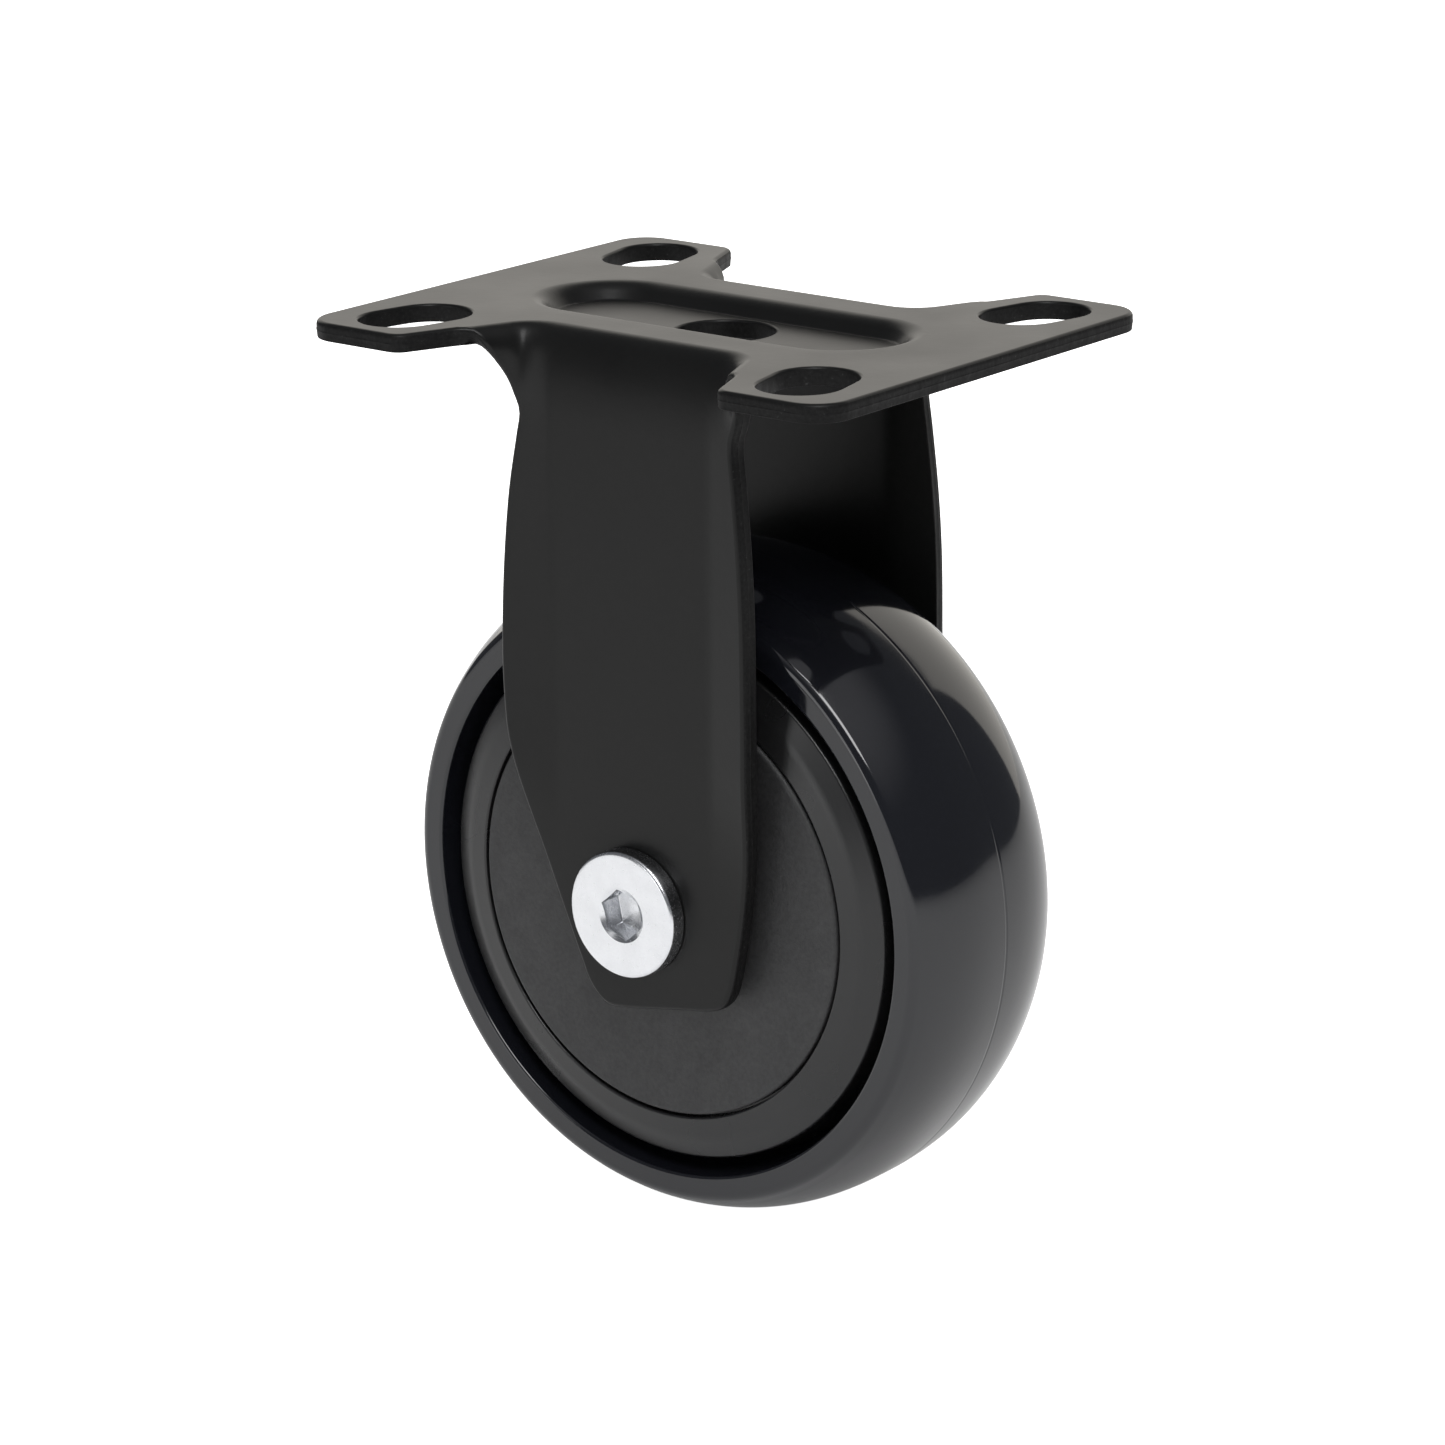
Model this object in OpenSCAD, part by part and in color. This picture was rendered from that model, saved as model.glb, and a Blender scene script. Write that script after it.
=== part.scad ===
// Fixed castor: a pressed fork with an H-shaped slotted plate, and a ball-bearing
// wheel on a barrel bolt.
// Origin: centre of the plate's top face. +X rolling direction, +Y along the
// axle, +Z up, so the wheel hangs below.

/* [Plate] */
// Sheet thickness of the fork
sheet_t = 2.0; // [1.6:0.1:2.4]
// Length of the plate along the rolling direction
plate_l = 70.4; // [69:0.2:76]
// Width of the plate across the wheel
plate_w = 57.6; // [55:0.2:62]
// Slot spacing along the rolling direction
slot_pitch_x = 53; // [52:0.5:56]
// Slot spacing across the wheel
slot_pitch_y = 40; // [38:0.5:41]
// Slot width
slot_w = 9; // [7:0.5:9]
// Slot length from end to end
slot_l = 13; // [11:0.5:13.5]
// Splay of each slot from the axle direction, in degrees
slot_splay = 13; // [0:1:15]
// Diameter of the hole in the recess
centre_hole_d = 11; // [6:0.5:11]
// Depth of the pressed recess
recess_d = 1.8; // [1:0.1:2.2]
// Radius of the plate's outer corners
ear_r = 4.2; // [2:0.2:5]

/* [Fork] */
// Depth of the axle below the plate's top face
axle_drop = 62.9; // [60:0.1:66]
// Distance from the middle plane to a leg's outer face
leg_out = 16.8; // [16.4:0.1:18]
// Outer radius of the fold between plate and leg
fold_r = 3.4; // [3.2:0.1:4]
// Outward flare of the legs' side margins, in degrees
flare = 15; // [10:1:18]

/* [Wheel] */
// Wheel diameter over the crown
wheel_d = 75; // [72:0.5:76]
// Tread width
tread_w = 24.8; // [24:0.1:25.4]
// Radius at which the tread meets the side face
shoulder_r = 34.1; // [33.5:0.1:35]
// Distance from the middle plane to a dust cover's outer face
cover_y = 12.8; // [12.6:0.1:13.2]
// Radius of a dust cover
cover_r = 24.7; // [23.8:0.1:24.8]
// Number of ribs on each side of the core's web
ribs = 8; // [6:1:10]

/* [Axle] */
// Diameter of the bolt heads
head_d = 14.2; // [12:0.2:15]
// Thickness of the bolt heads
head_t = 2.2; // [1.8:0.1:2.6]
// Width across flats of the hex sockets
socket_af = 5; // [4:0.5:5]
// Diameter of the axle barrel
axle_d = 7.96; // [7.9:0.02:7.98]

/* [Bearings] */
// Outer diameter of each bearing
bearing_od = 22; // [22:0.1:22.2]
// Bore of each bearing
bearing_id = 8; // [8:0.1:8.2]
// Width of each bearing
bearing_w = 7; // [6.8:0.1:7]
// Distance from the middle plane to a bearing's inner face
bearing_y = 4.2; // [4:0.1:4.2]
// Balls in each bearing
ball_n = 7; // [6:1:7]

/* [Hidden] */

eps = 0.03;
wheel_r = wheel_d / 2;
half_tread = tread_w / 2;
fold_in = fold_r - sheet_t;
fold_y = leg_out - fold_r;          // where the flat plate ends and the fold starts
bore_r = bearing_od / 2;

// Line along which the sheet starts to fold: straight along the waist, an arc
// at each end, then the ear's inner side, which is a plain sheared edge.
corner_r = 6.7;
side_a = 68;
c2 = [10.6, fold_y + corner_r];
p3 = c2 + corner_r * [sin(side_a), -cos(side_a)];
ear_y = plate_w / 2;
side_len = (ear_y + 2 - p3[1]) / sin(side_a);
p4 = p3 + side_len * [cos(side_a), sin(side_a)];
knee = [p3[0] + (ear_y - p3[1]) / tan(side_a), ear_y];
nose_r = 3;
nose_c = [knee[0] - nose_r / tan(side_a) + nose_r / sin(side_a), ear_y - nose_r];
flare_x = 11;      // where a leg's flat panel ends and its flared margin starts

// Outline of a leg seen along the axle, as [x, z] points that a smooth curve
// runs through. The foot leans towards +X.
leg_pts = [
  [-22, 1], [-19, -0.6], [-17.1, -2.2], [-15.6, -4], [-14.7, -6.4], [-14.4, -9],
  [-14.8, -12], [-15.8, -18], [-16.5, -25], [-16.9, -32], [-17, -38],
  [-16.7, -44.5], [-15.9, -49.5], [-14.4, -54.5], [-11.3, -62], [-8, -69.5],
  [-6.5, -72.6], [-4.2, -74.6], [-1, -74.5], [5, -73.4], [10, -72.5],
  [12.3, -71.4], [13.4, -69.2], [14.5, -64], [15.5, -58], [16.1, -52],
  [16.4, -44], [16.4, -36], [16.3, -28], [15.9, -21], [15.1, -14],
  [14.6, -9], [14.8, -6.4], [15.6, -4], [17.1, -2.2], [19, -0.6], [22, 1]
];
neck_z = -6.4;    // where the drawn corner ends and the plain leg starts
function cr(a, b, c, d, t) =
  0.5 * (2 * b + (c - a) * t + (2 * a - 5 * b + 4 * c - d) * t * t
         + (3 * b - a - 3 * c + d) * t * t * t);
function smooth_line(p, n) = [
  for (i = [0 : len(p) - 2], k = [0 : n - 1])
    cr(p[max(i - 1, 0)], p[i], p[i + 1], p[min(i + 2, len(p) - 1)], k / n)
];
leg_outline = concat(smooth_line(leg_pts, 3), [leg_pts[len(leg_pts) - 1]], [[22, 1.5], [-22, 1.5]]);

// A wedge of a full circle, between two directions
module pie(c, r, a0, a1) {
  intersection() {
    translate(c) circle(r = r, $fn = 96);
    polygon([c, c + 2 * r * [cos(a0), sin(a0)],
             c + 2 * r / cos((a1 - a0) / 2) * [cos((a0 + a1) / 2), sin((a0 + a1) / 2)],
             c + 2 * r * [cos(a1), sin(a1)]]);
  }
}

// The notch between two ears, on the +Y side
module notch_half() {
  polygon([[-1, fold_y], [c2[0], fold_y], c2, p3, p4, [-1, p4[1]]]);
  pie(c2, corner_r, -90, -90 + side_a);
  difference() {
    polygon([[knee[0] - 0.5, ear_y + 0.5], knee + [0, 0.5], [nose_c[0], ear_y + 0.5], nose_c,
             nose_c + nose_r * [-sin(side_a), cos(side_a)] + 0.2 * [-sin(side_a), cos(side_a)]]);
    translate(nose_c) circle(r = nose_r, $fn = 96);
  }
}

module round_rect(l, w, r) {
  square([l - 2 * r, w], center = true);
  square([l, w - 2 * r], center = true);
  for (x = [-1, 1], y = [-1, 1])
    translate([x * (l / 2 - r), y * (w / 2 - r)]) circle(r = r, $fn = 96);
}

module plate_outline() {
  difference() {
    round_rect(plate_l, plate_w, ear_r);
    for (m = [0, 1]) mirror([0, m, 0]) {
      notch_half();
      mirror([1, 0, 0]) notch_half();
    }
  }
}

// Section through fold and wall: u runs outwards from the start of the fold
module fold_section() {
  intersection() {
    difference() {
      translate([0, -fold_r]) circle(r = fold_r, $fn = 96);
      translate([0, -fold_r]) circle(r = fold_in, $fn = 96);
    }
    translate([0, -fold_r]) square([fold_r, fold_r]);
  }
  translate([fold_in, neck_z]) square([sheet_t, -neck_z - fold_r]);
}

// The fold and the top of a leg: the sheet is drawn round into the ears
module leg_top() {
  translate([-c2[0], fold_y, 0]) rotate([90, 0, 90]) linear_extrude(2 * c2[0]) fold_section();
  for (m = [0, 1]) mirror([m, 0, 0])
    translate([c2[0], c2[1], 0]) rotate([0, 0, -90])
      rotate_extrude(angle = side_a - 0.7, $fn = 96) translate([corner_r, 0]) mirror([1, 0]) fold_section();
}

// Below the neck: a flat panel with a flared margin on each side
module leg_low() {
  y0 = leg_out - sheet_t;
  dy = 9 * tan(flare);
  k = sheet_t * tan(flare / 2);
  translate([0, 0, -78]) linear_extrude(78 + neck_z)
    polygon([[-flare_x - 9, y0 + dy], [-flare_x, y0], [flare_x, y0], [flare_x + 9, y0 + dy],
             [flare_x + 9 - 2 * k, leg_out + dy], [flare_x - k, leg_out], [-flare_x + k, leg_out],
             [-flare_x - 9 + 2 * k, leg_out + dy]]);
}

module leg() {
  intersection() {
    union() {
      leg_top();
      leg_low();
    }
    translate([0, 40, 0]) rotate([90, 0, 0]) linear_extrude(40) polygon(leg_outline);
  }
}

// Stadium-shaped frustum along X, for the pressed recess and its underside
module dish(half_l, r_low, r_high, z0, z1) {
  c = half_l - r_high;
  for (x = [-c, c]) translate([x, 0, z0]) cylinder(h = z1 - z0, r1 = r_low, r2 = r_high, $fn = 96);
  translate([-c, 0, 0]) rotate([90, 0, 90]) linear_extrude(2 * c)
    polygon([[-r_low, z0], [r_low, z0], [r_high, z1], [-r_high, z1]]);
}

module slot_cut() {
  linear_extrude(10, center = true) {
    for (s = [-1, 1]) translate([0, s * (slot_l - slot_w) / 2]) circle(r = slot_w / 2, $fn = 96);
    square([slot_w, slot_l - slot_w], center = true);
  }
}

module fork_plate() {
  color([0.16, 0.16, 0.16])
  difference() {
    union() {
      translate([0, 0, -sheet_t]) linear_extrude(sheet_t) plate_outline();
      dish(24, 6.9, 8.8, -sheet_t - recess_d, -sheet_t + eps);
      leg();
      mirror([0, 1, 0]) leg();
    }
    dish(23, 5.9, 7.8, -recess_d, 0);
    translate([0, 0, -10]) cylinder(h = 12, d = centre_hole_d, $fn = 96);
    for (x = [-1, 1], y = [-1, 1])
      translate([x * slot_pitch_x / 2, y * slot_pitch_y / 2, 0])
        rotate([0, 0, -x * y * slot_splay]) slot_cut();
    translate([0, 0, -axle_drop]) rotate([90, 0, 0]) cylinder(h = 60, d = 8.2, center = true, $fn = 96);
  }
}

// Turns a profile of [radius, y] about the axle
module turned() {
  translate([0, 0, -axle_drop]) rotate([90, 0, 0]) rotate_extrude($fn = 144) mirror([0, 1]) children();
}

core_r = 30.5;       // where core and tyre meet
rib_r = 32.3;        // key ring that locks the tyre on the core
lip_r = 31.6;        // inner edge of the tyre's side face
edge_r = 29.6;       // outer edge of the core's side face
groove_y = 9.8;      // floor of the groove between them
crown_r = (pow(half_tread, 2) + pow(wheel_r - shoulder_r, 2)) / (2 * (wheel_r - shoulder_r));

module tyre() {
  color([0.07, 0.07, 0.08]) turned() difference() {
    intersection() {
      translate([wheel_r - crown_r, 0]) circle(r = crown_r, $fn = 180);
      polygon([[core_r, -groove_y], [lip_r, -groove_y], [lip_r, -half_tread], [wheel_r + 1, -half_tread],
               [wheel_r + 1, half_tread], [lip_r, half_tread], [lip_r, groove_y], [core_r, groove_y]]);
    }
    translate([core_r - 1, -2.5]) square([rib_r - core_r + 1, 5]);
  }
}

seat_y = cover_y - 1.3;   // inner face of a cover's disc
module hub_core() {
  color([0.2, 0.2, 0.2]) {
    difference() {
      union() {
        turned() difference() {
          union() {
            polygon([[24, -groove_y], [24, -seat_y], [25, -seat_y], [25, -cover_y + 0.1], [edge_r, -11.15],
                     [edge_r, -groove_y], [core_r, -groove_y], [core_r, groove_y], [edge_r, groove_y],
                     [edge_r, 11.15], [25, cover_y - 0.1], [25, seat_y], [24, seat_y], [24, groove_y]]);
            translate([core_r - 1, -2.5]) square([rib_r - core_r + 1, 5]);
            translate([14, -1.5]) square([10.5, 3]);
            translate([9.6, -bearing_y - bearing_w]) square([14.5 - 9.6, 2 * (bearing_y + bearing_w)]);
          }
        }
        translate([0, 0, -axle_drop]) rotate([90, 0, 0])
          for (i = [0 : ribs - 1]) rotate([0, 0, i * 360 / ribs])
            translate([14, -1, -9]) cube([10.4, 2, 18]);
      }
      translate([0, 0, -axle_drop]) rotate([90, 0, 0])
        for (s = [-1, 1]) translate([0, 0, s * (bearing_y + bearing_w / 2 + 0.5)])
          cylinder(h = bearing_w + 1, r = bore_r, center = true, $fn = 144);
    }
  }
}

// Clip-on dust cover; s is the side it sits on
module cover(s) {
  color([0.27, 0.27, 0.28]) turned() scale([1, s])
    polygon([[6.8, seat_y], [22.6, seat_y], [22.6, 9.6], [23.8, 9.6], [23.8, seat_y],
             [cover_r, seat_y], [cover_r, cover_y - 0.15], [cover_r - 0.15, cover_y], [6.8, cover_y]]);
}
module cover_right() mirror([0, 0, 0]) cover(-1);
module cover_left() cover(1);

module along_axle(s) {
  translate([0, 0, -axle_drop]) rotate([s < 0 ? 90 : -90, 0, 0]) children();
}

// Flat head with a bevelled rim and a countersunk hex socket, outer face at z = top
module socket_head(top, depth, af) {
  difference() {
    union() {
      translate([0, 0, top - head_t]) cylinder(h = head_t - 0.4, d = head_d, $fn = 96);
      translate([0, 0, top - 0.4]) cylinder(h = 0.4, r1 = head_d / 2, r2 = head_d / 2 - 0.4, $fn = 96);
      children();
    }
    translate([0, 0, top - depth]) cylinder(h = depth + 1, d = af / cos(30), $fn = 6);
    translate([0, 0, top - 0.35]) cylinder(h = 0.36, r1 = af / 2 + 0.05, r2 = af / 2 + 0.42, $fn = 96);
  }
}

module axle_bolt() {
  top = leg_out + head_t;
  color([0.85, 0.86, 0.88]) along_axle(-1) difference() {
    socket_head(top, 3.6, socket_af)
      translate([0, 0, -leg_out + 0.4]) cylinder(h = 2 * leg_out, d = axle_d, $fn = 96);
    translate([0, 0, -leg_out]) cylinder(h = 20, r = 2.6, $fn = 96);
  }
}

module axle_screw() {
  top = leg_out + head_t;
  color([0.85, 0.86, 0.88]) along_axle(1)
    socket_head(top, 1.9, 4)
      translate([0, 0, leg_out - 15]) cylinder(h = 15.5, r = 2.55, $fn = 96);
}

module bush(s) {
  y0 = bearing_y + bearing_w;
  color([0.7, 0.71, 0.73]) along_axle(s) difference() {
    translate([0, 0, y0]) cylinder(h = leg_out - sheet_t - y0, r = 6, $fn = 96);
    cylinder(h = 30, r = 4.05, $fn = 96);
  }
}
module bush_right() bush(-1);
module bush_left() bush(1);

module bearing_spacer() {
  color([0.7, 0.71, 0.73]) along_axle(1) difference() {
    cylinder(h = 2 * bearing_y, r = 6, center = true, $fn = 96);
    cylinder(h = 30, r = 4.05, center = true, $fn = 96);
  }
}

ball_pitch_r = 7.5;
ball_r = 1.97;
race_r = 2.07;
mid_y = bearing_y + bearing_w / 2;

module outer_ring(s) {
  color([0.75, 0.76, 0.78]) turned() translate([0, s * mid_y]) difference() {
    translate([9.6, -bearing_w / 2]) square([bore_r - 9.6, bearing_w]);
    translate([ball_pitch_r - 0.06, 0]) circle(r = race_r, $fn = 96);
    for (d = [-1, 1]) translate([9, d * 3.2 - 0.35]) square([1.1, 0.7]);
  }
}
module outer_ring_right() outer_ring(-1);
module outer_ring_left() outer_ring(1);

module inner_ring(s) {
  color([0.75, 0.76, 0.78]) turned() translate([0, s * mid_y]) difference() {
    translate([bearing_id / 2, -bearing_w / 2]) square([6.05 - bearing_id / 2, bearing_w]);
    translate([ball_pitch_r + 0.06, 0]) circle(r = race_r, $fn = 96);
  }
}
module inner_ring_right() inner_ring(-1);
module inner_ring_left() inner_ring(1);

module ball_places(s) {
  along_axle(s) translate([0, 0, mid_y])
    for (i = [0 : ball_n - 1]) rotate([0, 0, i * 360 / ball_n]) translate([ball_pitch_r, 0, 0]) children();
}
module balls_right() color([0.8, 0.81, 0.83]) ball_places(-1) sphere(r = ball_r, $fn = 48);
module balls_left() color([0.8, 0.81, 0.83]) ball_places(1) sphere(r = ball_r, $fn = 48);

module cage(s) {
  color([0.75, 0.62, 0.35]) difference() {
    along_axle(s) translate([0, 0, mid_y - 2.7]) difference() {
      cylinder(h = 3.5, r = 8.3, $fn = 96);
      translate([0, 0, -1]) cylinder(h = 6, r = 6.7, $fn = 96);
    }
    ball_places(s) sphere(r = ball_r + 0.1, $fn = 48);
  }
}
module cage_right() cage(-1);
module cage_left() cage(1);

// The two thin shields of one bearing
module shields(s) {
  color([0.6, 0.61, 0.63]) along_axle(s) for (d = [-1, 1]) translate([0, 0, mid_y + d * 3.15 - 0.2]) difference() {
    cylinder(h = 0.4, r = 10.1, $fn = 96);
    translate([0, 0, -1]) cylinder(h = 3, r = 6.35, $fn = 96);
  }
}
module shields_right() shields(-1);
module shields_left() shields(1);

fork_plate();
tyre();
hub_core();
cover_right();
cover_left();
axle_bolt();
axle_screw();
bush_right();
bush_left();
bearing_spacer();
outer_ring_right();
outer_ring_left();
inner_ring_right();
inner_ring_left();
balls_right();
balls_left();
cage_right();
cage_left();
shields_right();
shields_left();
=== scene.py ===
import math

import bpy
import numpy as np
from mathutils import Matrix, Vector
from mathutils.geometry import delaunay_2d_cdt


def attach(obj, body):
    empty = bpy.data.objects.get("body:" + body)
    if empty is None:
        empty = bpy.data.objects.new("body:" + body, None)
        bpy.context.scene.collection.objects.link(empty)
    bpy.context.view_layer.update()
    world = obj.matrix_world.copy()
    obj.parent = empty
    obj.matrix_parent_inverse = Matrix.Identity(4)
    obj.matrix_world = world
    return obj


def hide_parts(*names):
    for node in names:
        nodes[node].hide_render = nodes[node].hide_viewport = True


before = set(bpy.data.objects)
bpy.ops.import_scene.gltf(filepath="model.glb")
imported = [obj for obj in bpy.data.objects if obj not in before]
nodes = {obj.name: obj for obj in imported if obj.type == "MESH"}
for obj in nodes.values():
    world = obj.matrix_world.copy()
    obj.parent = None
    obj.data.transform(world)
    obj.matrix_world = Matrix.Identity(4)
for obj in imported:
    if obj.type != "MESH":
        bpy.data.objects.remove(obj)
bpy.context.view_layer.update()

# Everything below is modelled in millimetres and written to the meshes in metres.
MM = 0.001
PI = math.pi
AXLE_Z = -62.9


# ------------------------------------------------------------------ mesh helpers
def make_object(name, verts, faces, normals=None, face_mats=None):
    mesh = bpy.data.meshes.new(name)
    mesh.from_pydata((np.asarray(verts) * MM).tolist(), [], [list(f) for f in faces])
    mesh.validate(clean_customdata=False)
    mesh.polygons.foreach_set("use_smooth", [True] * len(mesh.polygons))
    if face_mats is not None and len(face_mats) == len(mesh.polygons):
        mesh.polygons.foreach_set("material_index", list(face_mats))
    mesh.update()
    if normals is not None:
        mesh.normals_split_custom_set_from_vertices([tuple(n) for n in normals])
    obj = bpy.data.objects.new(name, mesh)
    bpy.context.scene.collection.objects.link(obj)
    return obj


def weld(verts, normals, faces, tol=2e-3):
    """Joins points closer than tol millimetres, sums their normals, drops faces that collapse."""
    verts = np.asarray(verts, float)
    normals = np.asarray(normals, float)
    index = np.full(len(verts), -1)
    cells = {}
    keep = []
    for i, p in enumerate(verts):
        key = tuple(np.floor(p / tol).astype(int))
        hit = -1
        for dx in (-1, 0, 1):
            for dy in (-1, 0, 1):
                for dz in (-1, 0, 1):
                    for j in cells.get((key[0] + dx, key[1] + dy, key[2] + dz), ()):
                        if np.abs(verts[keep[j]] - p).max() < tol:
                            hit = j
                            break
                    if hit >= 0:
                        break
                if hit >= 0:
                    break
            if hit >= 0:
                break
        if hit < 0:
            hit = len(keep)
            keep.append(i)
            cells.setdefault(key, []).append(hit)
        index[i] = hit
    out_n = np.zeros((len(keep), 3))
    np.add.at(out_n, index, normals)
    out_n /= np.maximum(np.linalg.norm(out_n, axis=1, keepdims=True), 1e-9)
    out_f = []
    kept_faces = []
    for k, f in enumerate(faces):
        g = [int(index[i]) for i in f]
        h = [g[i] for i in range(len(g)) if g[i] != g[i - 1]]
        if len(set(h)) >= 3:
            out_f.append(h)
            kept_faces.append(k)
    return verts[keep], out_n, out_f, kept_faces


def smoothstep(t):
    t = np.clip(t, 0.0, 1.0)
    return t * t * (3 - 2 * t)


def catmull(points, n):
    p = [np.array(q, float) for q in points]
    out = []
    for i in range(len(p) - 1):
        a, b, c, d = p[max(i - 1, 0)], p[i], p[i + 1], p[min(i + 2, len(p) - 1)]
        for k in range(n):
            t = k / n
            out.append(0.5 * (2 * b + (c - a) * t + (2 * a - 5 * b + 4 * c - d) * t * t + (3 * b - a - 3 * c + d) * t ** 3))
    out.append(p[-1])
    return np.array(out)


def resample(points, step):
    """Evenly spaced points along an open polyline, both ends kept."""
    p = np.asarray(points, float)
    d = np.concatenate([[0], np.cumsum(np.linalg.norm(np.diff(p, axis=0), axis=1))])
    n = max(2, int(round(d[-1] / step)) + 1)
    t = np.linspace(0, d[-1], n)
    return np.stack([np.interp(t, d, p[:, k]) for k in range(p.shape[1])], 1)


def arc(c, r, a0, a1, n):
    t = np.radians(np.linspace(a0, a1, n))
    return np.stack([c[0] + r * np.cos(t), c[1] + r * np.sin(t)], 1)


# ------------------------------------------------------------------ the pressed sheet of the fork
SHEET = 2.0
WAIST_Y = 13.4          # where the flat plate ends and the fold starts
LEG_Y = 16.8            # outer face of a leg
ARC_C = (11.76, 18.4)   # corner of the fold line, seen from above
ARC_R = 5.0
SIDE_A = math.radians(68)
S1 = ARC_C[0]
S2 = S1 + ARC_R * SIDE_A
P3 = np.array([ARC_C[0] + ARC_R * math.sin(SIDE_A), ARC_C[1] - ARC_R * math.cos(SIDE_A)])
SIDE_T = np.array([math.cos(SIDE_A), math.sin(SIDE_A)])
SIDE_N = np.array([-math.sin(SIDE_A), math.cos(SIDE_A)])
SEAM_W = -2.0


def _fold_table():
    """Section of the fold by its own length: (length, share of the way out, drop). It starts tight and ends slack."""
    b = np.array([(0.0, 0.0), (1.95, 0.0), (3.4, -2.5), (3.4, -10.2)])
    t = np.linspace(0, 1, 201)[:, None]
    p = (1 - t) ** 3 * b[0] + 3 * (1 - t) ** 2 * t * b[1] + 3 * (1 - t) * t ** 2 * b[2] + t ** 3 * b[3]
    d = np.concatenate([[0], np.cumsum(np.hypot(*np.diff(p, axis=0).T))])
    return d, p[:, 0] / 3.4, p[:, 1]


FOLD_S, FOLD_U, FOLD_Z = _fold_table()
WF = FOLD_S[-1]         # length of the fold in the leg's own coordinates


def fold_at(w):
    w = np.asarray(w, float)
    u = np.interp(w, FOLD_S, FOLD_U)
    z = np.interp(w, FOLD_S, FOLD_Z) - np.maximum(w - WF, 0)
    return u, z


def w_at(z):
    return float(np.interp(-z, -FOLD_Z, FOLD_S)) + max(0.0, FOLD_Z[-1] - z)
HALF_L, HALF_W = 35.2, 28.8
FLARE_T = math.tan(math.radians(13))
FLARE_X = 10.8


def fold_line(s):
    a = np.clip((s - S1) / ARC_R, 0, SIDE_A)
    over = np.maximum(s - S2, 0)
    x = np.where(s < S1, s, ARC_C[0] + ARC_R * np.sin(a)) + over * SIDE_T[0]
    y = ARC_C[1] - ARC_R * np.cos(a) + over * SIDE_T[1]
    return x, y, -np.sin(a), np.cos(a)


def wall_x(s):
    t = np.maximum(s - 10.0, 0)
    return np.minimum(s, 10.0) + 0.42 * t + 0.87 * (1 - np.exp(-t / 1.5))


_ws = np.linspace(0, 40, 4001)
_wx = wall_x(_ws)


def wall_s(x):
    return np.sign(x) * np.interp(np.abs(x), _wx, _ws)


def flare(x, z):
    k = 0.32
    ramp = k * np.logaddexp(0, (np.abs(x) - FLARE_X) / k)
    return FLARE_T * ramp * smoothstep((z + 61) / 17)


def leg_point(q):
    s, w = q[:, 0], q[:, 1]
    a = np.abs(s)
    cx, cy, nx, ny = fold_line(a)
    wx = wall_x(a)
    f, z = fold_at(w)
    wy = LEG_Y + flare(wx, np.minimum(z, -3.0))
    back = np.minimum(w, 0)
    # the web at the neck sweeps back to the leg's plane only as it comes down
    vx, vy = wx - cx, wy - cy
    g = smoothstep((a - 15.5) / 5.0)
    over = -vy - 1.0
    hy = vy + 0.5 * (over + np.sqrt(over ** 2 + 0.6)) * g
    hx = vx * (1 - g) - 3.45 * g
    down = smoothstep((w - 2.0) / 7.0)
    vx, vy = hx * (1 - down) + vx * down, hy * (1 - down) + vy * down
    x = cx + vx * f + nx * back
    y = cy + vy * f + ny * back
    return np.stack([np.where(s < 0, -x, x), y, z], 1)


RC = 15.5               # half the straight length of the recess
R_FLOOR = 6.15
R_RIM = 9.05
DEPTH = 1.8
BETA = math.radians(50)
R_IN, R_OUT = 0.5, 2.4


def _dip_table():
    """Depth of the recess against the distance from its middle line."""
    pts = [(0.0, DEPTH), (R_FLOOR - 0.001, DEPTH)]
    for t in np.linspace(0, BETA, 8):
        pts.append((R_FLOOR + R_IN * math.sin(t), DEPTH - R_IN * (1 - math.cos(t))))
    s1, d1 = pts[-1]
    end = []
    for t in np.linspace(BETA, 0, 14):
        end.append((-R_OUT * math.sin(t), R_OUT * (1 - math.cos(t))))
    length = (d1 - end[0][1]) / math.tan(BETA)
    s2 = s1 + length
    shift = s2 - end[0][0]
    pts += [(shift + a, b) for a, b in end]
    pts.append((60.0, 0.0))
    return np.array(pts)


DIP = _dip_table()


def plate_point(q):
    x, y = q[:, 0], q[:, 1]
    s = np.hypot(np.maximum(np.abs(x) - RC, 0), y)
    return np.stack([x, y, -np.interp(s, DIP[:, 0], DIP[:, 1])], 1)


def frame_at(fn, q, h):
    """Point, unit normal and the two derivatives of a surface."""
    q = np.asarray(q, float)
    p = fn(q)
    du = (fn(q + [h, 0]) - fn(q - [h, 0])) / (2 * h)
    dv = (fn(q + [0, h]) - fn(q - [0, h])) / (2 * h)
    n = np.cross(du, dv)
    n /= np.linalg.norm(n, axis=1, keepdims=True)
    return p, n, du, dv


def leg_frame(q):
    return frame_at(leg_point, q, 0.03)


def plate_frame(q):
    return frame_at(plate_point, q, 0.05)


def inward(fn_frame, q, closed, left):
    """For boundary points q: the move in q that goes 1 mm into the material, and the outward 3D direction."""
    q = np.asarray(q, float)
    if closed:
        t = np.roll(q, -1, 0) - np.roll(q, 1, 0)
    else:
        t = np.gradient(q, axis=0)
    p, n, du, dv = fn_frame(q)
    tan = du * t[:, :1] + dv * t[:, 1:]
    tan /= np.linalg.norm(tan, axis=1, keepdims=True)
    into = np.cross(n, tan) * (1 if left else -1)
    guu, guv, gvv = (du * du).sum(1), (du * dv).sum(1), (dv * dv).sum(1)
    bu, bv = (du * into).sum(1), (dv * into).sum(1)
    det = guu * gvv - guv * guv
    m = np.stack([(bu * gvv - bv * guv) / det, (bv * guu - bu * guv) / det], 1)
    return m, -into


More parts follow.
